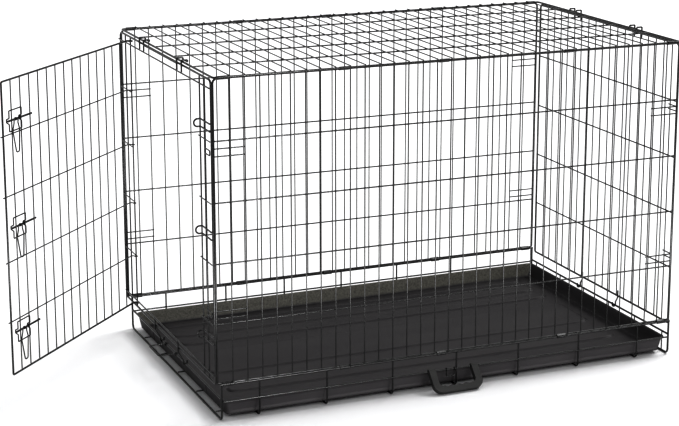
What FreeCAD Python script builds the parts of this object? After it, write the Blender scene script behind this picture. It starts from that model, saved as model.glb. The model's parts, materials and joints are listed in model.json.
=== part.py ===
"""Folding wire dog crate: a wire tube of four hinged panels on a base frame, two end panels and a tray.

Frame: X runs along the crate with the door end at low X, Y runs from the front to the back and Z is up.
The origin is the middle of the footprint, on the floor. All sizes are in millimetres.
"""
import FreeCAD, Part
import math
import os

from FreeCAD import Vector

os.makedirs("parts", exist_ok=True)

# ---------------------------------------------------------------- driving dimensions
BAYS_LONG = 33                # bays between the upright wires along the crate
BAY_LONG = 37.15              # pitch of those wires
LEVELS = 5                    # bays in height
LEVEL = 144.66                # height of one bay
WIDTH = 734.0                 # front posts to back posts
RAIL = 5.0                    # diameter of the panel borders and rails
FILL = 2.8                    # diameter of the upright fill wires
CROSS = 3.4                   # diameter of the level fill wires
WELD = 0.05                   # gap left between two wires that are welded where they cross
STACK = RAIL / 2 + FILL / 2 + WELD            # from a rail's middle to the fill wires that cross it
CROSS_STACK = STACK - FILL / 2 - CROSS / 2 - WELD
CLIP_SIDE = 5.1               # two rails in one hinge clip stand this far apart in Y,
CLIP_RISE = 2.3               # and this far apart in Z

HALF_L = BAYS_LONG * BAY_LONG / 2
FRONT_Y = -WIDTH / 2
BACK_Y = WIDTH / 2
HINGE_Z = 91.95               # bottom rails of the side panels, which are the lower hinge lines
SIDE_TOP_Z = HINGE_Z + LEVELS * LEVEL
TOP_Z = SIDE_TOP_Z + CLIP_RISE                # border of the roof, which is the upper hinge line
TOP_FRONT_Y = FRONT_Y - CLIP_SIDE
TOP_BACK_Y = BACK_Y - CLIP_SIDE
LEVEL_ZS = [HINGE_Z + LEVEL * i for i in range(1, LEVELS)]
POST_BEND = 12.0              # the borders turn their upper corners at this radius
FOOT_BEND = 5.0               # and their lower corners at this one
PANEL_BENDS = [FOOT_BEND, FOOT_BEND, POST_BEND, POST_BEND]
ROOF_BEND = 8.0
RUNG_ZS = (259.0, 644.0)      # middles of the pairs of rungs that the side hooks drop into
RUNG_HALF = 9.0
RUNG = 3.0                    # wire of the rungs and of the side hooks

# hinge clips
CLIP_BAYS = (0.63, 8.60, 15.50, 24.50, 32.37)
CLIP_WIDTH = 24.0
CLIP_PLAY = 0.1
CLIP_WALL = 1.2

# base frame
BASE_X0 = -605.0              # middle of the corner posts at the door end
BASE_X1 = 612.0
BASE_FRONT_Y = FRONT_Y - CLIP_SIDE
BASE_BACK_Y = BACK_Y - CLIP_SIDE
BASE_Z = HINGE_Z - CLIP_RISE  # upper rails
HOOP = 4.0                    # wires that carry the tray and form the feet
HOOP_COUNT = 7
HOOP_PITCH = 171.5
HOOP_SHIFT = 4.0              # the middle hoop stands this far from the middle of the crate
HOOP_BEND = 12.0
LOWER_RAIL_Z = 48.0
END_RAIL_Z = 54.0
FLOOR_WIRE = 3.0
FLOOR_WIRE_YS = (-320.0, -174.0, -27.0, 117.0, 261.0)
RISER_YS = (-343.0, -209.0, -75.0, 60.0, 192.0, 332.0)

# end panels
END_X = HALF_L + 5.6          # middle plane of each end panel
FAR_END_Y0 = -360.0
NEAR_END_Y0 = -371.0
END_Y1 = 355.0
END_TOP_Z = 812.3
END_BAYS = 19
FAR_END_Z0 = 80.0
FAR_END_DROP = 8.0            # the plain end's level wires lie below those of the side panels
BAND = 3.6                    # upright wires beside the doorway, one of which is the hinge rod
DOOR_RAIL = 3.6               # sill and head of the doorway
DOOR_FRAME_Z0 = 93.5
DOOR_SILL_Z = 114.0
DOOR_HEAD_Z = 794.5
FRONT_BAND_YS = (-326.0, -291.0)
BACK_BAND_Y = 310.0
HOOK = 4.0                    # wire of the hooks and latch keepers
SIDE_HOOK_REACH = 36.0
HOOK_KNEE = 8.0               # the hinge hooks bend in this far below the panel's border
FAR_HINGE_YS = (-103.0, 86.0)
NEAR_HINGE_YS = (-98.0, 93.0)
FAR_TOP_HOOK_YS = (-158.4, 153.3)
NEAR_TOP_HOOK_YS = (-155.5, 149.5)
TOP_HOOK_HALF = 17.5
TOP_HOOK_FOOT_Z = 797.0

# door
DOOR_AJAR = 44.5              # the door stands open by this angle
DOOR_WIDTH = 598.0
DOOR_BAYS = 15
DOOR_Z0 = 104.0
DOOR_Z1 = 802.0
DOOR_LEVEL_ZS = (231.0, 375.0, 531.0, 674.0)
HINGE_ROD_Y = 265.0
EYE_PLAY = 0.25               # round the hinge rod
BEAD = 4.0                    # the door's rails stand out past the free edge by this much
DOOR_BORDER = 4.6
DOOR_X = -END_X - 9.0         # middle of the door's border when the door is shut
DOOR_RAIL_X = DOOR_X - DOOR_BORDER / 2 - FILL / 2 - WELD
DOOR_FILL_X = DOOR_RAIL_X + FILL + WELD

# latches
LATCH_ZS = {"top": 704.0, "middle": 451.0, "bottom": 199.0}
BOLT = 5.0
BOLT_X = -END_X - 15.4
BOLT_TIP = 566.0              # measured from the hinge rod along the door
BOLT_LENGTH = 104.0
GUIDE = 3.0
GUIDE_S0 = 511.0
GUIDE_S1 = 564.0
GUIDE_HALF = 24.5
LOOP = 3.0                    # wire of the latch handles
LOOP_S0 = 514.6               # the two legs of a handle, measured from the hinge rod
LOOP_S1 = 531.6
LOOP_FLARE = 6.0              # the legs spread by this much below the bolt
EYE_S = 572.0                 # the keeper's eye, measured from the hinge rod

# tray
TRAY_HALF_L = 604.5
TRAY_HALF_W = 363.5
TRAY_X = 4.5                  # middle of the tray
TRAY_Y = -CLIP_SIDE
TRAY_Z0 = 7.2
TRAY_RIM_Z = 46.0
TRAY_WALL = 2.2
TRAY_DRAFT = 7.0              # the walls lean out by this much from floor to rim
TRAY_LIP = 5.0
TRAY_CORNER = 12.0
RIDGES = ((-223.0, -190.0), (-85.0, 75.0), (145.0, 180.0), (215.0, 250.0), (300.0, 330.0))
RIDGE_HALF_L = 538.0          # the raised ridges in the tray's floor
RIDGE_HEIGHT = 3.0
RIDGE_CORNER = 16.0

# small parts on the base
PAN_STOP_YS = (-25.0, 58.0)
PAN_STOP_REACH = 46.0
CLASP_XS = (-25.0, -3.0)
CLASP_REACH = 18.0
HANDLE_X = -8.0
HANDLE_HALF = 66.0            # half of the carry handle's overall width
HANDLE_REACH = 60.0           # from the rail's middle to the outer edge of the grip
HANDLE_ARM = 17.0
HANDLE_GRIP = 17.0
HANDLE_THICK = 13.0
HANDLE_LEAN = 44.0            # the handle leans out by this angle from hanging straight down
FINGERS = 4
FINGER_RADIUS = 15.0
FINGER_DEPTH = 2.2


def save(name, solids):
    """Write the solids of one sub-part to its own file."""
    shape = solids[0] if len(solids) == 1 else Part.makeCompound(solids)
    shape.exportStep("parts/" + name + ".step")
    print(name, len(solids), all(s.isValid() for s in solids))


def rod(start, end, diameter):
    """A straight wire."""
    start, end = Vector(*start), Vector(*end)
    run = end - start
    return Part.makeCylinder(diameter / 2, run.Length, start, run)


def bend_at(before, corner, after, radius):
    """Where a round bend leaves the first run, its middle, and where it joins the next run."""
    come, go = (corner - before).normalize(), (after - corner).normalize()
    turn = come.getAngle(go)
    setback = radius * math.tan(turn / 2)
    inward = (go - come).normalize()
    middle = corner + inward * (radius / math.cos(turn / 2) - radius)
    return corner - come * setback, middle, corner + go * setback


def bent(points, diameter, radius, closed=False):
    """A wire bent round at every inner point, or at every point of a closed loop; radius may be a list."""
    points = [Vector(*p) for p in points]
    bends = len(points) if closed else len(points) - 2
    radii = radius if isinstance(radius, list) else [radius] * bends
    if closed:
        middle = (points[0] + points[-1]) * 0.5
        points = [middle] + points + [middle]
    edges = []
    here = points[0]
    for i in range(1, len(points) - 1):
        start, middle, end = bend_at(points[i - 1], points[i], points[i + 1], radii[i - 1])
        if (start - here).Length > 0.001:
            edges.append(Part.makeLine(here, start))
        edges.append(Part.Arc(start, middle, end).toShape())
        here = end
    if (points[-1] - here).Length > 0.001:
        edges.append(Part.makeLine(here, points[-1]))
    disc = Part.Wire(Part.makeCircle(diameter / 2, points[0], points[1] - points[0]))
    swept = Part.Wire(edges).makePipeShell([disc], True, False)
    return swept.Solids[0]


def ring(centre, axis, inner_radius, wire):
    """A closed round eye of wire."""
    return Part.makeTorus(inner_radius + wire / 2, wire / 2, Vector(*centre), Vector(*axis))


def fuse(solids):
    """One solid from pieces that run into each other."""
    whole = solids[0]
    for solid in solids[1:]:
        whole = whole.fuse(solid)
    return whole.removeSplitter().Solids[0]


def frame_loop(low, high, fixed, plane, radius):
    """A closed rectangular border of rail wire; plane names the two axes that it spans."""
    (a0, b0), (a1, b1) = low, high
    corners = [(a0, b0), (a1, b0), (a1, b1), (a0, b1)]
    place = {
        "XZ": lambda a, b: (a, fixed, b),
        "YZ": lambda a, b: (fixed, a, b),
        "XY": lambda a, b: (a, b, fixed),
    }[plane]
    return bent([place(a, b) for a, b in corners], RAIL, radius, closed=True)


# ---------------------------------------------------------------- side panels
def upright_xs():
    """X of every fill wire between the two posts."""
    return [-HALF_L + BAY_LONG * i for i in range(1, BAYS_LONG)]


def side_panel(name, y, out):
    """The front or the back panel; out is the direction in Y that faces away from the cabin."""
    border = frame_loop((-HALF_L, HINGE_Z), (HALF_L, SIDE_TOP_Z), y, "XZ", PANEL_BENDS)
    save(name + "_border", [border])
    fill_y = y + out * STACK
    foot, head = HINGE_Z + 1.5, SIDE_TOP_Z - 1.5
    save(name + "_uprights", [rod((x, fill_y, foot), (x, fill_y, head), FILL) for x in upright_xs()])
    reach = HALF_L - RAIL / 2 - WELD
    rail_y = y + out * CROSS_STACK
    save(name + "_levels", [rod((-reach, rail_y, z), (reach, rail_y, z), CROSS) for z in LEVEL_ZS])
    rung_zs = [z + half for z in RUNG_ZS for half in (-RUNG_HALF, RUNG_HALF)]
    save(name + "_hook_rungs", [hook_rung(side, y, out, z) for side in (-1, 1) for z in rung_zs])


def hook_rung(side, y, out, z):
    """One of the short wires from a post to the second upright that hold an end panel's side hook."""
    rung_y = y + out * (STACK - FILL / 2 - RUNG / 2 - WELD)
    near = side * (HALF_L - RAIL / 2 - WELD)
    far = side * (HALF_L - 2 * BAY_LONG - FILL / 2)
    return rod((far, rung_y, z), (near, rung_y, z), RUNG)


# ---------------------------------------------------------------- top panel
def top_panel():
    """The roof, whose long rails run beside and above the top rails of the side panels."""
    corners = (-HALF_L, TOP_FRONT_Y), (HALF_L, TOP_BACK_Y)
    save("top_border", [frame_loop(corners[0], corners[1], TOP_Z, "XY", ROOF_BEND)])
    fill_z = TOP_Z + STACK
    y0, y1 = TOP_FRONT_Y - 1.5, TOP_BACK_Y + 1.5
    wires = [rod((x, y0, fill_z), (x, y1, fill_z), FILL) for x in upright_xs()]
    save("top_cross_wires", wires)
    reach = HALF_L - RAIL / 2 - WELD
    bay = WIDTH / LEVELS
    rail_z = TOP_Z + CROSS_STACK
    ys = [TOP_FRONT_Y + bay * i for i in range(1, LEVELS)]
    save("top_long_wires", [rod((-reach, y, rail_z), (reach, y, rail_z), CROSS) for y in ys])


# ---------------------------------------------------------------- hinge clips
def clip(x, low, high):
    """A strip of steel closed round two rails, whose middles are given as (y, z)."""
    def slot(radius, width):
        along = Vector(1, 0, 0)
        centres = [Vector(x - width / 2, y, z) for y, z in (low, high)]
        ends = [Part.makeCylinder(radius, width, c, along) for c in centres]
        side = (centres[1] - centres[0]).cross(along).normalize() * radius
        outline = [centres[0] + side, centres[1] + side, centres[1] - side, centres[0] - side]
        web = Part.Face(Part.makePolygon(outline + outline[:1])).extrude(along * width)
        return fuse(ends + [web])

    inner = RAIL / 2 + CLIP_PLAY
    return slot(inner + CLIP_WALL, CLIP_WIDTH).cut(slot(inner, CLIP_WIDTH + 2)).Solids[0]


def hinge_clips():
    """Five clips along each of the four long edges."""
    xs = [-HALF_L + BAY_LONG * bay for bay in CLIP_BAYS]
    edges = {
        "base_front_clips": ((BASE_FRONT_Y, BASE_Z), (FRONT_Y, HINGE_Z)),
        "base_back_clips": ((BASE_BACK_Y, BASE_Z), (BACK_Y, HINGE_Z)),
        "top_front_clips": ((FRONT_Y, SIDE_TOP_Z), (TOP_FRONT_Y, TOP_Z)),
        "top_back_clips": ((BACK_Y, SIDE_TOP_Z), (TOP_BACK_Y, TOP_Z)),
    }
    for name, (low, high) in edges.items():
        save(name, [clip(x, low, high) for x in xs])


# ---------------------------------------------------------------- base frame
def hoop(x, diameter):
    """A wire from the front rail down, under the tray and up to the back rail."""
    top = BASE_Z - RAIL / 2 - WELD
    low = diameter / 2
    y0, y1 = BASE_FRONT_Y, BASE_BACK_Y
    path = [(x, y0, top), (x, y0, low), (x, y1, low), (x, y1, top)]
    return bent(path, diameter, HOOP_BEND)


def base_frame():
    """The frame that stands on the floor, holds the tray and carries the other panels."""
    x0, x1 = BASE_X0 - RAIL / 2, BASE_X1 + RAIL / 2
    upper_ys = (BASE_FRONT_Y, BASE_BACK_Y)
    save("base_upper_rails", [rod((x0, y, BASE_Z), (x1, y, BASE_Z), RAIL) for y in upper_ys])
    save("base_end_hoops", [hoop(x, RAIL) for x in (BASE_X0, BASE_X1)])
    middle = HOOP_COUNT // 2
    hoop_xs = [HOOP_SHIFT + HOOP_PITCH * (i - middle) for i in range(HOOP_COUNT)]
    save("base_hoops", [hoop(x, HOOP) for x in hoop_xs])
    inner_x0, inner_x1 = BASE_X0 + RAIL / 2 + WELD, BASE_X1 - RAIL / 2 - WELD
    lower_ys = (BASE_FRONT_Y - HOOP - WELD, BASE_BACK_Y + HOOP + WELD)
    lower = [rod((inner_x0, y, LOWER_RAIL_Z), (inner_x1, y, LOWER_RAIL_Z), HOOP) for y in lower_ys]
    save("base_lower_rails", lower)
    y0, y1 = BASE_FRONT_Y + RAIL / 2 + WELD, BASE_BACK_Y - RAIL / 2 - WELD
    ends = [rod((x, y0, END_RAIL_Z), (x, y1, END_RAIL_Z), RAIL) for x in (BASE_X0, BASE_X1)]
    save("base_end_rails", ends)
    floor_z = HOOP + FLOOR_WIRE / 2 + WELD
    floor = [rod((inner_x0, y, floor_z), (inner_x1, y, floor_z), FLOOR_WIRE) for y in FLOOR_WIRE_YS]
    save("base_floor_wires", floor)
    z0, z1 = RAIL + WELD, END_RAIL_Z - RAIL / 2 - WELD
    save("base_risers", [rod((BASE_X1, y, z0), (BASE_X1, y, z1), FLOOR_WIRE) for y in RISER_YS])


# ---------------------------------------------------------------- end panels
def hinge_hook(side, y, top, knee):
    """A wire from the end panel that bends at the knee, goes under the base's end rail and up behind it."""
    outer = END_X + RAIL / 2 + HOOK / 2 + WELD
    rail_x = abs(BASE_X0) if side < 0 else BASE_X1
    wrap = RAIL / 2 + 0.3 + HOOK / 2
    lower = END_RAIL_Z + 7.0
    path = [
        (side * outer, y, top),
        (side * outer, y, knee),
        (side * (rail_x + wrap), y, lower),
        (side * (rail_x + wrap), y, END_RAIL_Z - wrap),
        (side * (rail_x - wrap), y, END_RAIL_Z - wrap),
        (side * (rail_x - wrap), y, lower),
    ]
    return bent(path, HOOK, wrap - 0.01)


def top_hook(side, y):
    """An arch from the end panel's top edge over the end wire of the roof."""
    stem_x = END_X + RAIL / 2 + HOOK / 2 + WELD
    nose_x = HALF_L - 5.2
    crown = TOP_Z + RAIL / 2 + HOOK / 2 + 3.2
    lip = TOP_Z + 3.4
    profile = [(stem_x, TOP_HOOK_FOOT_Z), (stem_x, crown), (nose_x, crown), (nose_x, lip)]
    first = [(side * x, y - TOP_HOOK_HALF, z) for x, z in profile]
    second = [(side * x, y + TOP_HOOK_HALF, z) for x, z in reversed(profile)]
    return bent(first + second, HOOK, 2.15)


def top_hooks(side, ys):
    """Two arches and the wire that runs along the end panel's top edge between them."""
    x = side * (END_X + RAIL / 2 + HOOK / 2 + WELD)
    inset = TOP_HOOK_HALF + HOOK / 2 + WELD
    tie = rod((x, ys[0] + inset, END_TOP_Z), (x, ys[1] - inset, END_TOP_Z), HOOK)
    return [top_hook(side, y) for y in ys] + [tie]


def side_hooks(x, edge_y):
    """Two U loops beside the end panel's front edge, level with the front panel's rungs."""
    near = edge_y + RAIL / 2 + RUNG / 2 + WELD
    far = near + SIDE_HOOK_REACH
    loops = []
    for z in RUNG_ZS:
        path = [(x, far, z - 6.0), (x, near, z - 6.0), (x, near, z + 6.0), (x, far, z + 6.0)]
        loops.append(bent(path, RUNG, 4.0))
    return loops


def far_end_panel():
    """The plain end panel at high X."""
    border = frame_loop((FAR_END_Y0, FAR_END_Z0), (END_Y1, END_TOP_Z), END_X, "YZ", PANEL_BENDS)
    save("far_end_border", [border])
    pitch = (END_Y1 - FAR_END_Y0) / END_BAYS
    ys = [FAR_END_Y0 + pitch * i for i in range(1, END_BAYS)]
    fill_x = END_X + STACK
    z0, z1 = FAR_END_Z0 - 1.5, END_TOP_Z - HOOK / 2 - WELD
    save("far_end_uprights", [rod((fill_x, y, z0), (fill_x, y, z1), FILL) for y in ys])
    rail_x = END_X + CROSS_STACK
    y0, y1 = FAR_END_Y0 + RAIL / 2 + WELD, END_Y1 - RAIL / 2 - WELD
    zs = [z - FAR_END_DROP for z in LEVEL_ZS]
    save("far_end_levels", [rod((rail_x, y0, z), (rail_x, y1, z), CROSS) for z in zs])
    hooks = [hinge_hook(1, y, FAR_END_Z0 + 12.0, FAR_END_Z0 - HOOK_KNEE) for y in FAR_HINGE_YS]
    save("far_end_hinge_hooks", hooks)
    save("far_end_top_hooks", top_hooks(1, FAR_TOP_HOOK_YS))
    save("far_end_side_hooks", side_hooks(fill_x - FILL / 2 - RUNG / 2 - WELD, FAR_END_Y0))


def door_end_panel():
    """The end panel at low X, with the doorway, the hinge rod and the latch keepers."""
    x = -END_X
    border = frame_loop((NEAR_END_Y0, DOOR_FRAME_Z0), (END_Y1, END_TOP_Z), x, "YZ", PANEL_BENDS)
    save("door_end_border", [border])
    rail_x = x - RAIL / 2 - DOOR_RAIL / 2 - WELD
    rail_zs = (DOOR_SILL_Z, DOOR_HEAD_Z)
    rails = [rod((rail_x, NEAR_END_Y0 - 1.0, z), (rail_x, END_Y1 + 1.0, z), DOOR_RAIL) for z in rail_zs]
    save("door_end_rails", rails)
    z0, z1 = DOOR_FRAME_Z0 + RAIL / 2 + WELD, END_TOP_Z - RAIL / 2 - WELD
    ys = FRONT_BAND_YS + (BACK_BAND_Y,)
    save("door_end_uprights", [rod((x, y, z0), (x, y, z1), BAND) for y in ys])
    save("hinge_rod", [rod((x, HINGE_ROD_Y, z0), (x, HINGE_ROD_Y, z1), BAND)])
    level_x = x - BAND / 2 - FILL / 2 - WELD
    y0, y1 = NEAR_END_Y0 + RAIL / 2 + WELD, END_Y1 - RAIL / 2 - WELD
    spans = ((y0, FRONT_BAND_YS[1] + 3.0), (HINGE_ROD_Y - 2.5, y1))
    levels = [rod((level_x, a, z), (level_x, b, z), FILL) for z in LEVEL_ZS for a, b in spans]
    save("door_end_levels", levels)
    hook_top = DOOR_SILL_Z - DOOR_RAIL / 2 - WELD
    hooks = [hinge_hook(-1, y, hook_top, DOOR_FRAME_Z0 - HOOK_KNEE) for y in NEAR_HINGE_YS]
    save("door_end_hinge_hooks", hooks)
    save("door_end_top_hooks", top_hooks(-1, NEAR_TOP_HOOK_YS))
    save("door_end_side_hooks", side_hooks(x - BAND / 2 - RUNG / 2 - WELD, NEAR_END_Y0))
    save("latch_keepers", [keeper(z) for z in LATCH_ZS.values()])


def keeper(z):
    """A U of wire along the front band whose round end stands out through the shut door."""
    flat_x = -(END_X + RAIL / 2 + HOOK / 2 + WELD)
    eye_y = HINGE_ROD_Y - EYE_S
    half = 9.0
    nose_x = BOLT_X - 5.0
    path = [
        (flat_x, NEAR_END_Y0 - 1.5, z + half),
        (flat_x, eye_y, z + half),
        (nose_x, eye_y, z + half),
        (nose_x, eye_y, z - half),
        (flat_x, eye_y, z - half),
        (flat_x, NEAR_END_Y0 - 1.5, z - half),
    ]
    corner = 3.0
    round_end = half - 0.01
    upper = bent(path[:2] + [(nose_x + half, eye_y, z + half)], HOOK, corner)
    lower = bent([(nose_x + half, eye_y, z - half)] + path[4:], HOOK, corner)
    nose = [(nose_x + half + 0.05, eye_y, z + half)] + path[2:4] + [(nose_x + half + 0.05, eye_y, z - half)]
    return fuse([upper, bent(nose, HOOK, round_end), lower])


# ---------------------------------------------------------------- door, built shut and then swung open
def swing(solids):
    """Turn the door's pieces about the hinge rod from shut to ajar."""
    turned = []
    for solid in solids:
        copy = solid.copy()
        copy.rotate(Vector(-END_X, HINGE_ROD_Y, 0), Vector(0, 0, 1), -DOOR_AJAR)
        turned.append(copy)
    return turned


def door_y(distance):
    """Y of a point on the shut door, measured from the hinge rod towards the free edge."""
    return HINGE_ROD_Y - distance


def hinge_eye(z, wire):
    """An eye round the hinge rod."""
    return ring((-END_X, HINGE_ROD_Y, z), (0, 0, 1), BAND / 2 + EYE_PLAY, wire)


def door_rail(z):
    """A rail whose hinge end is bent into an eye round the hinge rod."""
    reach = -END_X - (BAND / 2 + EYE_PLAY + FILL / 2)
    path = [
        (reach, HINGE_ROD_Y, z),
        (DOOR_RAIL_X, HINGE_ROD_Y, z),
        (DOOR_RAIL_X, door_y(DOOR_WIDTH + BEAD), z),
    ]
    return fuse([hinge_eye(z, FILL), bent(path, FILL, 5.0)])


def door_frame():
    """The door's border: two arms that end in eyes round the hinge rod, and the free edge."""
    reach = -END_X - (BAND / 2 + EYE_PLAY + DOOR_BORDER / 2)
    free = door_y(DOOR_WIDTH)
    path = [
        (reach, HINGE_ROD_Y, DOOR_Z0),
        (DOOR_X, HINGE_ROD_Y, DOOR_Z0),
        (DOOR_X, free, DOOR_Z0),
        (DOOR_X, free, DOOR_Z1),
        (DOOR_X, HINGE_ROD_Y, DOOR_Z1),
        (reach, HINGE_ROD_Y, DOOR_Z1),
    ]
    eyes = [hinge_eye(z, DOOR_BORDER) for z in (DOOR_Z0, DOOR_Z1)]
    return fuse(eyes + [bent(path, DOOR_BORDER, 4.5)])


def door():
    """The door's border, fill wires and rails."""
    save("door_border", swing([door_frame()]))
    pitch = DOOR_WIDTH / DOOR_BAYS
    inside = DOOR_BORDER / 2 + WELD
    z0, z1 = DOOR_Z0 + inside, DOOR_Z1 - inside
    uprights = [rod((DOOR_FILL_X, door_y(pitch * i), z0), (DOOR_FILL_X, door_y(pitch * i), z1), FILL)
                for i in range(1, DOOR_BAYS)]
    save("door_uprights", swing(uprights))
    save("door_levels", swing([door_rail(z) for z in DOOR_LEVEL_ZS]))


def guide(z):
    """A closed frame of wire on the door whose sides are bumped out over the bolt."""
    flat_x = DOOR_FILL_X - FILL / 2 - GUIDE / 2 - WELD
    bump_x = BOLT_X - BOLT / 2 - 0.6 - GUIDE / 2
    profile = [
        (flat_x, GUIDE_HALF),
        (flat_x, 7.4),
        (bump_x, 3.4),
        (bump_x, -3.4),
        (flat_x, -7.4),
        (flat_x, -GUIDE_HALF),
    ]
    first = [(x, door_y(GUIDE_S1), z + dz) for x, dz in profile]
    second = [(x, door_y(GUIDE_S0), z + dz) for x, dz in reversed(profile)]
    return bent(first + second, GUIDE, 2.0, closed=True)


def bolt(z):
    """The sliding rod of a latch, with rounded ends."""
    far, near = door_y(BOLT_TIP), door_y(BOLT_TIP - BOLT_LENGTH)
    shaft = rod((BOLT_X, far, z), (BOLT_X, near, z), BOLT)
    return shaft.makeChamfer(0.8, [e for e in shaft.Edges if e.Curve.TypeId == "Part::GeomCircle"])


def latch_handle(z):
    """A long wire loop that hangs from two collars on the bolt."""
    collar_inner = BOLT / 2 + 0.12
    collar_outer = 3.9
    collar_width = 3.4
    collars = []
    for s in (LOOP_S0, LOOP_S1):
        start = Vector(BOLT_X, door_y(s) - collar_width / 2, z)
        along = Vector(0, 1, 0)
        outer = Part.makeCylinder(collar_outer, collar_width, start, along)
        collars.append(outer.cut(Part.makeCylinder(collar_inner, collar_width, start, along)))
    out_x = BOLT_X - 5.2
    toe_x = BOLT_X - 2.6
    inset = 2.5
    root = (BOLT_X - collar_inner - LOOP / 2, z - 1.0)
    side_path = [root, (out_x, z - 12.0), (out_x, z - 28.0), (toe_x, z - 80.0)]
    shifts = [0.0, 0.0, -LOOP_FLARE, inset]
    first = [(x, door_y(LOOP_S0 + s), h) for (x, h), s in zip(side_path, shifts)]
    second = [(x, door_y(LOOP_S1 - s), h) for (x, h), s in zip(side_path, shifts)]
    loop = bent(first + list(reversed(second)), LOOP, 5.0)
    return fuse(collars + [loop])


def latches():
    """Three sets of guide, bolt and handle."""
    for name, z in LATCH_ZS.items():
        save("latch_guide_" + name, swing([guide(z)]))
        save("latch_bolt_" + name, swing([bolt(z)]))
        save("latch_handle_" + name, swing([latch_handle(z)]))


# ---------------------------------------------------------------- tray
def rounded_rectangle(half_x, half_y, corner, z):
    """A closed outline with round corners."""
    block = Part.makeBox(2 * half_x, 2 * half_y, 1.0, Vector(-half_x, -half_y, z))
    uprights = [e for e in block.Edges if abs(e.Vertexes[0].Z - e.Vertexes[1].Z) > 0.5]
    rounded = block.makeFillet(corner, uprights)
    lowest = min(rounded.Faces, key=lambda f: f.CenterOfMass.z)
    return lowest.OuterWire


def tapered_block(half_x, half_y, corner, z0, z1, spread):
    """A block whose walls lean out on the way up."""
    low = rounded_rectangle(half_x - spread, half_y - spread, corner - spread / 2, z0)
    high = rounded_rectangle(half_x, half_y, corner, z1)
    return Part.makeLoft([low, high], True, True)


def ridge(low_y, high_y, z):
    """A long raised ridge with round ends, which runs a little way down into the floor."""
    root = 0.5
    corner = Vector(-RIDGE_HALF_L, low_y - TRAY_Y, z - root)
    block = Part.makeBox(2 * RIDGE_HALF_L, high_y - low_y, RIDGE_HEIGHT + root, corner)
    ends = [e for e in block.Edges if abs(e.Vertexes[0].Z - e.Vertexes[1].Z) > root]
    return block.makeFillet(min(RIDGE_CORNER, (high_y - low_y) / 2 - 0.1), ends)


def tray():
    """The plastic pan, with leaning walls, a flat lip and long raised ridges in its floor."""
    body_l, body_w = TRAY_HALF_L - TRAY_LIP, TRAY_HALF_W - TRAY_LIP
    outer = tapered_block(body_l, body_w, TRAY_CORNER, TRAY_Z0, TRAY_RIM_Z, TRAY_DRAFT)
    floor_z = TRAY_Z0 + TRAY_WALL
    inner = tapered_block(body_l - TRAY_WALL, body_w - TRAY_WALL, TRAY_CORNER - TRAY_WALL, floor_z,
                          TRAY_RIM_Z + 0.01, TRAY_DRAFT)
    rim_outline = rounded_rectangle(TRAY_HALF_L, TRAY_HALF_W, TRAY_CORNER + TRAY_LIP, TRAY_RIM_Z - TRAY_WALL)
    rim = Part.Face(rim_outline).extrude(Vector(0, 0, TRAY_WALL))
    shell = outer.fuse(rim).cut(inner)
    pan = fuse([shell] + [ridge(low, high, floor_z) for low, high in RIDGES])
    pan.translate(Vector(TRAY_X, TRAY_Y, 0))
    save("tray", [pan])


# ---------------------------------------------------------------- small parts on the base
def pan_stop():
    """A wire loop on the base's door-end rail, swung out level so that the tray can slide out."""
    wire = 3.0
    x = BASE_X0
    eye_inner = RAIL / 2 + 0.25
    eyes = [ring((x, y, END_RAIL_Z), (0, 1, 0), eye_inner, wire) for y in PAN_STOP_YS]
    near = x - eye_inner - wire / 2
    far = x - PAN_STOP_REACH
    path = [(near, PAN_STOP_YS[0]), (far, PAN_STOP_YS[0]), (far, PAN_STOP_YS[1]), (near, PAN_STOP_YS[1])]
    loop = bent([(a, b, END_RAIL_Z) for a, b in path], wire, 8.0)
    save("pan_stop", [fuse(eyes + [loop])])


def closing_clasp():
    """A small wire loop that hangs from the front lower rail and holds the folded crate shut."""
    wire = 2.5
    y = BASE_FRONT_Y - HOOP - WELD
    eye_inner = HOOP / 2 + 0.25
    eyes = [ring((x, y, LOWER_RAIL_Z), (1, 0, 0), eye_inner, wire) for x in CLASP_XS]
    near, far = LOWER_RAIL_Z - eye_inner - wire / 2, LOWER_RAIL_Z - CLASP_REACH
    path = [(CLASP_XS[0], near), (CLASP_XS[0], far), (CLASP_XS[1], far), (CLASP_XS[1], near)]
    loop = bent([(a, y, b) for a, b in path], wire, 5.0)
    save("closing_clasp", [fuse(eyes + [loop])])


def plate(half_x, low, high, thick, y):
    """An upright block centred on the carry handle, and its four edges along Y."""
    block = Part.makeBox(2 * half_x, thick, high - low, Vector(HANDLE_X - half_x, y - thick / 2, low))
    return block, [e for e in block.Edges if abs(e.Vertexes[0].Y - e.Vertexes[1].Y) > thick / 2]


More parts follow.
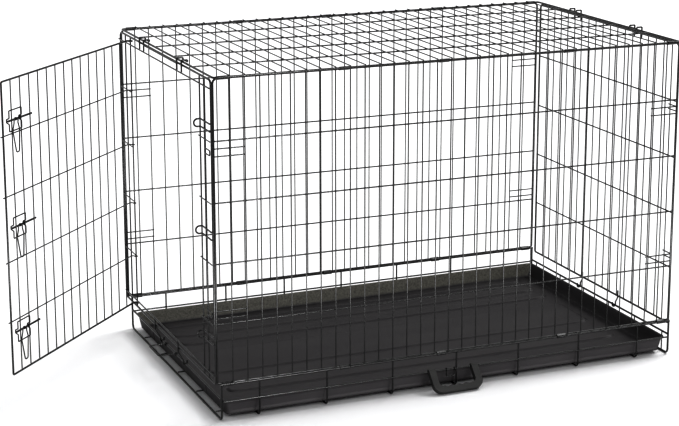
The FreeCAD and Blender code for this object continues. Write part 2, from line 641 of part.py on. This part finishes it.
def carry_handle():
    """The plastic handle, built hanging straight down from the front lower rail and then leaned out."""
    y = BASE_FRONT_Y - HOOP - WELD
    along_y, along_x = Vector(0, 1, 0), Vector(1, 0, 0)
    low = LOWER_RAIL_Z - HANDLE_REACH
    block, edges = plate(HANDLE_HALF, low, LOWER_RAIL_Z, HANDLE_THICK, y)
    block = block.makeFillet(22.0, [e for e in edges if e.CenterOfMass.z < LOWER_RAIL_Z - 1.0])
    knuckle_start = Vector(HANDLE_X - HANDLE_HALF, y, LOWER_RAIL_Z)
    block = block.fuse(Part.makeCylinder(HANDLE_THICK / 2, 2 * HANDLE_HALF, knuckle_start, along_x))
    half_gap = HANDLE_HALF - HANDLE_ARM
    gap_low = low + HANDLE_GRIP
    gap, edges = plate(half_gap, gap_low, LOWER_RAIL_Z + HANDLE_THICK, HANDLE_THICK + 2.0, y)
    gap = gap.makeFillet(10.0, [e for e in edges if e.CenterOfMass.z < gap_low + 1.0])
    handle = block.cut(gap)
    pitch = 2 * (half_gap - 10.0) / FINGERS
    for i in range(FINGERS):
        x = HANDLE_X + pitch * (i - (FINGERS - 1) / 2)
        start = Vector(x, y - HANDLE_THICK, gap_low - FINGER_DEPTH + FINGER_RADIUS)
        handle = handle.cut(Part.makeCylinder(FINGER_RADIUS, 2 * HANDLE_THICK, start, along_y))
    bore_start = Vector(HANDLE_X - HANDLE_HALF - 1, y, LOWER_RAIL_Z)
    bore = Part.makeCylinder(HOOP / 2 + 0.3, 2 * HANDLE_HALF + 2, bore_start, along_x)
    handle = handle.cut(bore).Solids[0]
    handle.rotate(Vector(0, y, LOWER_RAIL_Z), along_x, -HANDLE_LEAN)
    save("carry_handle", [handle])


side_panel("front", FRONT_Y, -1)
side_panel("back", BACK_Y, 1)
top_panel()
hinge_clips()
base_frame()
far_end_panel()
door_end_panel()
door()
latches()
tray()
pan_stop()
closing_clasp()
carry_handle()
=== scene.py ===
"""Looks for the folding wire dog crate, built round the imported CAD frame. All lengths are in metres."""
import json
import math

import bmesh
import bpy
from mathutils import Matrix, Vector

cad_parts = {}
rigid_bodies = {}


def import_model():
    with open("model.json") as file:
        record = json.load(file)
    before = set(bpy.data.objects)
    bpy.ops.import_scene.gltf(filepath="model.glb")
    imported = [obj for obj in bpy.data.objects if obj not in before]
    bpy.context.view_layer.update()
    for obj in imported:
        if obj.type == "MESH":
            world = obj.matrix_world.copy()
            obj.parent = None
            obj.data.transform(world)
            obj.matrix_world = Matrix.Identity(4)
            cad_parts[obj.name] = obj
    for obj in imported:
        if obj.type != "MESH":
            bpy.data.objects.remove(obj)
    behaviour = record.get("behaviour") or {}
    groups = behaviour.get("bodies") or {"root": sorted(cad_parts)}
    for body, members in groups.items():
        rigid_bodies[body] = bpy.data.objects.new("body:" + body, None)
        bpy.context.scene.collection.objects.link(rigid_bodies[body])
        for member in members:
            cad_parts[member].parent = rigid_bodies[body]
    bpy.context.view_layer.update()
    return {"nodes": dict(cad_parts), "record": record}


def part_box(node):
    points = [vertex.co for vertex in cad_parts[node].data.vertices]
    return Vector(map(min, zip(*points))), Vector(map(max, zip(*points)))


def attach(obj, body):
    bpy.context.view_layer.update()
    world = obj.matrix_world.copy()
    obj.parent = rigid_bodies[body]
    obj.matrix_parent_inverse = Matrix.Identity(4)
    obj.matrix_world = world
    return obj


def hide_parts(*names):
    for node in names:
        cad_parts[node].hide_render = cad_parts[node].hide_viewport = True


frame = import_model()
nodes = frame["nodes"]


# ---------------------------------------------------------------- material helpers
def node_maker(tree):
    """A helper that adds nodes to a tree and sets their inputs or settings by name."""
    def add(kind, **values):
        node = tree.nodes.new(kind)
        for key, value in values.items():
            if key in node.inputs:
                node.inputs[key].default_value = value
            else:
                setattr(node, key, value)
        return node

    return add


def new_material(name):
    """A node material, its shader, and the functions that link and add its nodes."""
    mat = bpy.data.materials.new(name)
    mat.use_nodes = True
    tree = mat.node_tree
    return mat, tree.nodes["Principled BSDF"], tree.links.new, node_maker(tree)


def ramp(add, stops):
    """A colour ramp with the given (position, colour) stops."""
    node = add("ShaderNodeValToRGB")
    while len(node.color_ramp.elements) < len(stops):
        node.color_ramp.elements.new(0.5)
    for element, (position, colour) in zip(node.color_ramp.elements, stops):
        element.position = position
        element.color = (*colour, 1.0)
    return node


def vary_colour(link, add, noise, shader, stops):
    """Let a noise choose the base colour along a ramp."""
    tint = ramp(add, stops)
    link(noise.outputs["Fac"], tint.inputs["Fac"])
    link(tint.outputs["Color"], shader.inputs["Base Color"])


def vary_roughness(link, add, noise, shader, low, high):
    """Let a noise choose the roughness between two values."""
    gloss = add("ShaderNodeMapRange")
    gloss.inputs["To Min"].default_value = low
    gloss.inputs["To Max"].default_value = high
    link(noise.outputs["Fac"], gloss.inputs["Value"])
    link(gloss.outputs["Result"], shader.inputs["Roughness"])


def roughen(link, add, noise, shader, strength, distance):
    """Raise and lower the shaded surface by a noise."""
    bump = add("ShaderNodeBump", Strength=strength, Distance=distance)
    link(noise.outputs["Fac"], bump.inputs["Height"])
    link(bump.outputs["Normal"], shader.inputs["Normal"])


# ---------------------------------------------------------------- materials
def coated_wire():
    """Black electro-coated steel wire: a thin satin skin with faint orange peel, dust and rubbed spots."""
    mat, shader, link, add = new_material("coated_wire")
    where = add("ShaderNodeTexCoord")
    blotch = add("ShaderNodeTexNoise", Scale=14.0, Detail=4.0, Roughness=0.6)
    peel = add("ShaderNodeTexNoise", Scale=900.0, Detail=2.0)
    link(where.outputs["Object"], blotch.inputs["Vector"])
    link(where.outputs["Object"], peel.inputs["Vector"])
    coat, dusty, rubbed = (0.004, 0.004, 0.004), (0.007, 0.007, 0.007), (0.016, 0.015, 0.014)
    vary_colour(link, add, blotch, shader, [(0.35, coat), (0.62, dusty), (0.80, rubbed)])
    vary_roughness(link, add, blotch, shader, 0.12, 0.26)
    roughen(link, add, peel, shader, 0.18, 0.0004)
    shader.inputs["Specular IOR Level"].default_value = 0.45
    shader.inputs["Coat Weight"].default_value = 0.1
    shader.inputs["Coat Roughness"].default_value = 0.07
    return mat


def pressed_strip():
    """The hinge clips: coated sheet steel with rolling marks and worn, greyer patches."""
    mat, shader, link, add = new_material("pressed_strip")
    where = add("ShaderNodeTexCoord")
    wear = add("ShaderNodeTexNoise", Scale=160.0, Detail=5.0, Roughness=0.7)
    link(where.outputs["Object"], wear.inputs["Vector"])
    coat, worn = (0.006, 0.006, 0.006), (0.030, 0.030, 0.030)
    vary_colour(link, add, wear, shader, [(0.45, coat), (0.72, worn)])
    vary_roughness(link, add, wear, shader, 0.16, 0.40)
    roughen(link, add, wear, shader, 0.25, 0.0003)
    shader.inputs["Specular IOR Level"].default_value = 0.35
    return mat


def moulded_plastic(name, dark, light, grain, roughness):
    """Black moulded plastic with a fine spark-eroded grain and long, faint flow marks."""
    mat, shader, link, add = new_material(name)
    where = add("ShaderNodeTexCoord")
    stretch = add("ShaderNodeMapping")
    stretch.inputs["Scale"].default_value = (0.6, 2.2, 2.2)
    flow = add("ShaderNodeTexNoise", Scale=6.0, Detail=5.0, Roughness=0.55)
    skin = add("ShaderNodeTexNoise", Scale=grain, Detail=3.0, Roughness=0.6)
    link(where.outputs["Object"], stretch.inputs["Vector"])
    link(stretch.outputs["Vector"], flow.inputs["Vector"])
    link(where.outputs["Object"], skin.inputs["Vector"])
    vary_colour(link, add, flow, shader, [(0.30, dark), (0.75, light)])
    vary_roughness(link, add, flow, shader, roughness - 0.07, roughness + 0.09)
    roughen(link, add, skin, shader, 0.35, 0.0006)
    shader.inputs["Specular IOR Level"].default_value = 0.25
    return mat


# Painted light: the tray's back wall and rim get a lighter, speckled colour that stands in for the light
# falling on them.
PAINTED_LIGHT_INSET = 0.0142           # the painted light starts this far inside the tray's back edge
PAINTED_LIGHT_FADE = 0.0015            # and is full after this much more
PAINTED_LIGHT_DARK = (0.060, 0.058, 0.050)
PAINTED_LIGHT_BRIGHT = (0.150, 0.146, 0.128)
MIX_SHARE, MIX_FIRST, MIX_SECOND, MIX_RESULT = 0, 6, 7, 2     # the colour sockets of Blender's Mix node


def painted_light_wall(mat):
    """Painted light on the tray's back wall and rim: a lighter, speckled colour that stands in for the
    light falling there, placed by its distance from the back edge.
    """
    tree = mat.node_tree
    link, add = tree.links.new, node_maker(tree)
    base_colour = tree.nodes["Principled BSDF"].inputs["Base Color"]
    plain = base_colour.links[0].from_socket
    where = add("ShaderNodeTexCoord")
    parts = add("ShaderNodeSeparateXYZ")
    mask = add("ShaderNodeMapRange")
    speck = add("ShaderNodeTexNoise", Scale=260.0, Detail=5.0)
    shade = ramp(add, [(0.35, PAINTED_LIGHT_DARK), (0.70, PAINTED_LIGHT_BRIGHT)])
    mix = add("ShaderNodeMix", data_type="RGBA")
    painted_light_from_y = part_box("tray")[1][1] - PAINTED_LIGHT_INSET
    mask.inputs["From Min"].default_value = painted_light_from_y
    mask.inputs["From Max"].default_value = painted_light_from_y + PAINTED_LIGHT_FADE
    link(where.outputs["Object"], parts.inputs["Vector"])
    link(parts.outputs["Y"], mask.inputs["Value"])
    link(where.outputs["Object"], speck.inputs["Vector"])
    link(speck.outputs["Fac"], shade.inputs["Fac"])
    link(mask.outputs["Result"], mix.inputs[MIX_SHARE])
    link(plain, mix.inputs[MIX_FIRST])
    link(shade.outputs["Color"], mix.inputs[MIX_SECOND])
    link(mix.outputs[MIX_RESULT], base_colour)


def finishes():
    """One material for each slot name of the record."""
    wire, clip = coated_wire(), pressed_strip()
    tray = moulded_plastic("tray_plastic", dark=(0.033, 0.031, 0.033), light=(0.049, 0.047, 0.048),
                           grain=700.0, roughness=0.52)
    # painted light: a lighter colour on the tray's back wall and rim
    painted_light_wall(tray)
    grip = moulded_plastic("grip_plastic", dark=(0.024, 0.024, 0.024), light=(0.038, 0.038, 0.037),
                           grain=1100.0, roughness=0.36)
    return {"wire": wire, "clip": clip, "tray": tray, "grip": grip}


FINISH = finishes()
for part in frame["record"]["subparts"]:
    for place in nodes[part["node"]].material_slots:
        place.material = FINISH[part["material_slot"]]


# ---------------------------------------------------------------- extra pieces
def smooth(low, high, value):
    """0 below low, 1 above high and an even S between."""
    t = min(1.0, max(0.0, (value - low) / (high - low)))
    return t * t * (3.0 - 2.0 * t)


def add_piece(name, mesh, body, slot):
    """Put a finished bmesh in the scene as a piece that rides on a body and takes a slot's material."""
    data = bpy.data.meshes.new(name)
    bmesh.ops.recalc_face_normals(mesh, faces=mesh.faces)
    mesh.to_mesh(data)
    mesh.free()
    for face in data.polygons:
        face.use_smooth = True
    data.materials.append(FINISH[slot])
    piece = bpy.data.objects.new(name, data)
    bpy.context.collection.objects.link(piece)
    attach(piece, body)
    return piece


# ---------------------------------------------------------------- the moulded tray
# Heights are from the tray's underside, insets from the rim's outer edge.
LIP = 0.005                   # the rim stands out past the wall by this much
WALL = 0.0022                 # thickness
DRAFT = 0.007                 # the walls lean out by this much from floor to rim
CORNER = 0.017                # the rim's corner radius
CORNER_STEPS = 6
WALL_STEPS = 14
WALL_FOOT = 0.0012            # height at which the outer wall starts
UNDER_INSET = 0.0015          # the underside ends this far inside the wall's foot
UNDER_CORNER = CORNER - 0.006

RIDGES = ((-0.223, -0.190), (-0.085, 0.075), (0.145, 0.180), (0.215, 0.250), (0.300, 0.330))   # in Y
RIDGE_HALF = 0.538            # half the ridges' length
RIDGE_TOP = 0.0062
RIDGE_CORNER = 0.016
RIDGE_SLOPE = 0.0011          # half the width of a ridge's sloping side
GROOVE = 0.0022               # depth of the groove round each ridge,
GROOVE_AT = 0.0033            # how far outside the ridge its middle runs,
GROOVE_HALF = 0.0022          # and half its width
FLOOR_TOP = 0.0022            # of the channel round the floor
PLATEAU = 0.0011              # the floor inside the channel stands this much higher
CHANNEL = 0.020               # width of the channel,
CHANNEL_SLOPE = 0.003         # and half the width of its sloping side
FLOOR_HEM = 0.003             # strip between the wall's foot and the floor's grid

GRID_STEP = 0.014             # of the floor's grid away from the ridges
FINE_STEP = 0.0011            # and across a ridge's side,
FINE_COUNT = 5                # for this many steps both ways
FINE_CLEAR = 0.0065           # where the plain stations are left out

PANEL_SINK = 0.0017           # depth of the long walls' fields and height of the end walls' ribs
FIELD_BOTTOM = (0.006, 0.009)             # heights between which a field or rib starts
FIELD_TOP = (0.029, 0.032)                # and ends
HOOP_PITCH = 0.1715           # the fields end at the base's hoops,
HOOP_X0 = 0.004               # whose middle one stands here,
FIELD_END = (0.006, 0.009)    # and slope up between these distances from a hoop
RIB_PITCH = 0.0715
RIB_HALF = 0.006
RIB_SLOPE = 0.002


def ridge_share(x, y):
    """How far a point stands on a ridge, and how deep in the groove round it, both up to 1."""
    share, groove = 0.0, 0.0
    for low, high in RIDGES:
        half = (high - low) / 2
        corner = min(RIDGE_CORNER, half)
        across = abs(y - (low + high) / 2) - (half - corner)
        along = abs(x) - (RIDGE_HALF - corner)
        reach = math.hypot(max(across, 0.0), max(along, 0.0)) + min(max(across, along), 0.0)
        share = max(share, 1.0 - smooth(corner - RIDGE_SLOPE, corner + RIDGE_SLOPE, reach))
        groove = max(groove, 1.0 - abs(reach - corner - GROOVE_AT) / GROOVE_HALF)
    return share, groove


def spread(low, high, marks):
    """Even stations from low to high, with finer ones round each mark."""
    count = round((high - low) / GRID_STEP)
    stations = [low + (high - low) * i / count for i in range(count + 1)]
    for mark in marks:
        stations = [v for v in stations if abs(v - mark) > FINE_CLEAR or v in (low, high)]
        stations += [mark + i * FINE_STEP for i in range(-FINE_COUNT, FINE_COUNT + 1)]
    return sorted(stations)


def from_nearest(value, pitch):
    """Distance from the nearest multiple of a pitch."""
    return abs((value + pitch / 2) % pitch - pitch / 2)


def wall_shift(x, y, side, height):
    """How far the outer wall lies inside its plain plane: sunk fields, and ribs that stand out."""
    band = smooth(*FIELD_BOTTOM, height) * (1.0 - smooth(*FIELD_TOP, height))
    if side in ("front", "back"):
        return PANEL_SINK * band * smooth(*FIELD_END, from_nearest(x - HOOP_X0, HOOP_PITCH))
    return -PANEL_SINK * band * (1.0 - smooth(RIB_HALF - RIB_SLOPE, RIB_HALF, from_nearest(y, RIB_PITCH)))


def inside_profile(rim):
    """Rows of (inset, height, corner radius): over the rolled rim, then down the inner wall."""
    inner = LIP + WALL
    rolled_edge = [
        (0.0012, rim - WALL, CORNER - 0.001),
        (0.0003, rim - WALL + 0.0004, CORNER),
        (0.0, rim - WALL / 2, CORNER),
        (0.0004, rim - 0.0004, CORNER),
        (0.0013, rim, CORNER - 0.001),
    ]
    inner_edge = [
        (LIP + 0.0008, rim, CORNER - LIP),
        (inner - 0.0004, rim - 0.0006, CORNER - LIP - 0.001),
        (inner, rim - 0.002, CORNER - LIP - 0.002),
    ]
    inner_wall = [
        (inner + DRAFT * 0.5, (rim + FLOOR_TOP) / 2, 0.0085),
        (inner + DRAFT * 0.93, FLOOR_TOP + 0.0028, 0.008),
        (inner + DRAFT + 0.0008, FLOOR_TOP + 0.0008, 0.006),
    ]
    return rolled_edge + inner_edge + inner_wall


def moulded_tray():
    """The pan with its rolled rim, sunk wall fields, ribs, perimeter channel and long ridges."""
    low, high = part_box("tray")
    mid_x, mid_y = (low[0] + high[0]) / 2, (low[1] + high[1]) / 2
    half_l, half_w = (high[0] - low[0]) / 2, (high[1] - low[1]) / 2
    rim = high[2] - low[2]
    floor_in = LIP + WALL + DRAFT + FLOOR_HEM
    inner_l, inner_w = half_l - floor_in, half_w - floor_in
    xs = spread(-inner_l, inner_l, [-RIDGE_HALF, RIDGE_HALF])
    marks = [v - mid_y for pair in RIDGES for v in pair]
    ys = spread(-inner_w, inner_w, [m for m in marks if abs(m) < inner_w - 0.004])
    along, across = [v / inner_l for v in xs], [v / inner_w for v in ys]
    mesh = bmesh.new()

    def point(x, y, height):
        return mesh.verts.new((mid_x + x, mid_y + y, low[2] + height))

    def ring(inset, height, corner, outer=False):
        """One closed ring of points round the tray; returns its vertices in order."""
        a, b = half_l - inset - corner, half_w - inset - corner
        sides = [
            ("front", [(a * f, -b - corner) for f in along]),
            ("far", [(a + corner, b * f) for f in across]),
            ("back", [(a * f, b + corner) for f in reversed(along)]),
            ("near", [(-a - corner, b * f) for f in reversed(across)]),
        ]
        centres = [(a, -b), (a, b), (-a, b), (-a, -b)]
        verts = []
        for k, ((side, points), centre) in enumerate(zip(sides, centres)):
            for x, y in points:
                shift = wall_shift(x + mid_x, y + mid_y, side, height) if outer else 0.0
                pull_x = {"far": -shift, "near": shift}.get(side, 0.0)
                pull_y = {"front": shift, "back": -shift}.get(side, 0.0)
                verts.append(point(x + pull_x, y + pull_y, height))
            for step in range(1, CORNER_STEPS):
                turn = math.pi / 2 * (k - 1 + step / CORNER_STEPS)
                x, y = centre[0] + corner * math.cos(turn), centre[1] + corner * math.sin(turn)
                verts.append(point(x, y, height))
        return verts

    def deck(height_at, hem):
        """A grid that fills the inside of a ring; its outer stations join the ring by a narrow strip."""
        grid = [[point(x, y, height_at(x, y)) for y in ys] for x in xs]
        for i in range(len(xs) - 1):
            for j in range(len(ys) - 1):
                mesh.faces.new((grid[i][j], grid[i + 1][j], grid[i + 1][j + 1], grid[i][j + 1]))
        edges = [
            [row[0] for row in grid],
            list(grid[-1]),
            [row[-1] for row in reversed(grid)],
            list(reversed(grid[0])),
        ]
        at = 0
        for edge in edges:
            for i in range(len(edge) - 1):
                mesh.faces.new((hem[at + i], hem[at + i + 1], edge[i + 1], edge[i]))
            at += len(edge) - 1
            for i in range(CORNER_STEPS):
                mesh.faces.new((hem[(at + i) % len(hem)], hem[(at + i + 1) % len(hem)], edge[-1]))
            at += CORNER_STEPS

    def floor_height(x, y):
        """Height of the floor: channel, plateau, ridges and grooves."""
        edge = min(inner_l - abs(x), inner_w - abs(y))
        plateau = smooth(CHANNEL - CHANNEL_SLOPE, CHANNEL + CHANNEL_SLOPE, edge)
        raised = FLOOR_TOP + PLATEAU * plateau
        share, groove = ridge_share(x, y + mid_y)
        return raised + (RIDGE_TOP - raised) * share - GROOVE * groove * (1.0 - share)

    rings = [ring(LIP + DRAFT + UNDER_INSET, 0.0, UNDER_CORNER)]
    for k in range(WALL_STEPS + 1):
        t = k / WALL_STEPS
        height = WALL_FOOT + (rim - WALL - WALL_FOOT) * t
        rings.append(ring(LIP + DRAFT * (1.0 - t), height, CORNER - LIP, outer=True))
    rings += [ring(inset, height, corner) for inset, height, corner in inside_profile(rim)]
    for first, second in zip(rings, rings[1:]):
        for i in range(len(first)):
            j = (i + 1) % len(first)
            mesh.faces.new((first[i], first[j], second[j], second[i]))
    deck(floor_height, rings[-1])
    deck(lambda x, y: 0.0, rings[0])
    return mesh


tray = add_piece("moulded_tray", moulded_tray(), "tray", "tray")
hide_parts("tray")


# ---------------------------------------------------------------- welds
BEAD_SIZE = 0.0021            # radius of a weld bead
BEAD_SQUASH = 0.55            # its share across the panel
X, Y, Z = 0, 1, 2


def wire_middles(node, axis):
    """Middles along one axis of the separate wires in a node, from its mesh's loose parts."""
    mesh = bmesh.new()
    mesh.from_mesh(nodes[node].data)
    seen, middles = set(), set()
    for vert in mesh.verts:
        if vert.index in seen:
            continue
        part, queue = [], [vert]
        seen.add(vert.index)
        while queue:
            here = queue.pop()
            part.append(here.co[axis])
            for edge in here.link_edges:
                other = edge.other_vert(here)
                if other.index not in seen:
                    seen.add(other.index)
                    queue.append(other)
        middles.add(round((min(part) + max(part)) / 2, 4))
    mesh.free()
    return sorted(middles)


def weld_beads(name, body, points, squeeze):
    """Beads of metal, squashed along one axis, where two wires are welded across each other."""
    mesh = bmesh.new()
    scale = Vector((BEAD_SIZE, BEAD_SIZE, BEAD_SIZE))
    scale[squeeze] *= BEAD_SQUASH
    for point in points:
        place = Matrix.Translation(point) @ Matrix.Diagonal((*scale, 1.0))
        bmesh.ops.create_icosphere(mesh, subdivisions=2, radius=1.0, matrix=place)
    add_piece(name, mesh, body, "wire")


def panel_welds():
    """The welds of the front and back panels, the roof and the plain end."""
    for panel, body in (("front", "front_panel"), ("back", "back_panel")):
        low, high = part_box(panel + "_uprights")
        y = high[Y] if panel == "front" else low[Y]
        xs, zs = wire_middles(panel + "_uprights", X), wire_middles(panel + "_levels", Z)
        weld_beads(panel + "_welds", body, [Vector((x, y, z)) for x in xs for z in zs], Y)
    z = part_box("top_cross_wires")[0][Z]
    xs, ys = wire_middles("top_cross_wires", X), wire_middles("top_long_wires", Y)
    weld_beads("top_welds", "top_panel", [Vector((x, y, z)) for x in xs for y in ys], Z)
    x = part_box("far_end_uprights")[0][X]
    ys, zs = wire_middles("far_end_uprights", Y), wire_middles("far_end_levels", Z)
    weld_beads("far_end_welds", "far_end", [Vector((x, y, z)) for y in ys for z in zs], X)


panel_welds()


# ---------------------------------------------------------------- stage
FLOOR_SIZE = 30.0


def floor_material():
    """Pale studio paper."""
    mat, shader, link, add = new_material("studio_floor")
    where = add("ShaderNodeTexCoord")
    mottle = add("ShaderNodeTexNoise", Scale=1.3, Detail=3.0)
    link(where.outputs["Object"], mottle.inputs["Vector"])
    vary_colour(link, add, mottle, shader, [(0.3, (0.90, 0.90, 0.91)), (0.7, (0.93, 0.93, 0.935))])
    shader.inputs["Roughness"].default_value = 0.75
    return mat


bpy.ops.mesh.primitive_plane_add(size=FLOOR_SIZE, location=(0, 0, 0))
floor = bpy.context.object
floor.name = "studio_floor"
floor.data.materials.append(floor_material())


# ---------------------------------------------------------------- light
SKY = 0.78
CONTRAST = 0.64               # gamma of the view: darkens the middle greys of the whole picture

# The softboxes light only the crate, so that the floor in front of it isn't over-exposed.
crate_only = bpy.data.collections.new("crate_only")
for thing in bpy.data.objects:
    if thing.type == "MESH" and thing is not floor:
        crate_only.objects.link(thing)


def soft_light(name, location, target, size, watts):
    """A softbox of the given width and height, aimed at a point, that lights only the crate."""
    data = bpy.data.lights.new(name, "AREA")
    data.shape = "RECTANGLE"
    data.size, data.size_y = size
    data.energy = watts
    light = bpy.data.objects.new(name, data)
    bpy.context.collection.objects.link(light)
    light.location = location
    light.rotation_euler = (Vector(target) - Vector(location)).to_track_quat("-Z", "Y").to_euler()
    light.visible_camera = False
    light.light_linking.receiver_collection = crate_only


def broad_light(name, comes_from, strength, spread_degrees):
    """A very large far-off light that falls the same on the whole floor."""
    data = bpy.data.lights.new(name, "SUN")
    data.energy = strength
    data.angle = math.radians(spread_degrees)
    light = bpy.data.objects.new(name, data)
    bpy.context.collection.objects.link(light)
    light.rotation_euler = Vector(comes_from).to_track_quat("Z", "Y").to_euler()


def white_sky():
    """An even white surround."""
    world = bpy.data.worlds.new("studio")
    bpy.context.scene.world = world
    world.use_nodes = True
    backdrop = world.node_tree.nodes["Background"]
    backdrop.inputs["Color"].default_value = (1.0, 1.0, 1.0, 1.0)
    backdrop.inputs["Strength"].default_value = SKY


broad_light("overhead", comes_from=(0.64, 0.20, 0.80), strength=2.4, spread_degrees=30.0)
soft_light("front_softbox", location=(0.55, -3.1, 1.7), target=(-0.45, -0.37, 0.6),
           size=(0.20, 1.2), watts=70.0)
soft_light("low_strip", location=(-0.2, -1.05, 0.07), target=(-0.2, -0.37, 0.09),
           size=(2.6, 0.11), watts=14.0)
white_sky()
bpy.context.scene.view_settings.view_transform = "Standard"
bpy.context.scene.view_settings.gamma = CONTRAST


# ---------------------------------------------------------------- camera
CAMERA_AT = Vector((-1.8987, -4.1900, 1.5840))
TILT = 1.3429                 # radians, from looking straight down
TURN = -0.3951
ROLL = -0.0011
SENSOR = 36.0                 # millimetres
LENS = 96.9137                # millimetres
SHIFT_Y = -0.0928


def photo_camera():
    """The camera of the photograph."""
    lens = bpy.data.cameras.new("camera")
    lens.sensor_width = SENSOR
    lens.lens = LENS
    lens.shift_y = SHIFT_Y
    camera = bpy.data.objects.new("camera", lens)
    bpy.context.collection.objects.link(camera)
    aim = Matrix.Rotation(TURN, 4, "Z") @ Matrix.Rotation(TILT, 4, "X") @ Matrix.Rotation(ROLL, 4, "Z")
    camera.matrix_world = Matrix.Translation(CAMERA_AT) @ aim
    return camera


bpy.context.scene.camera = photo_camera()
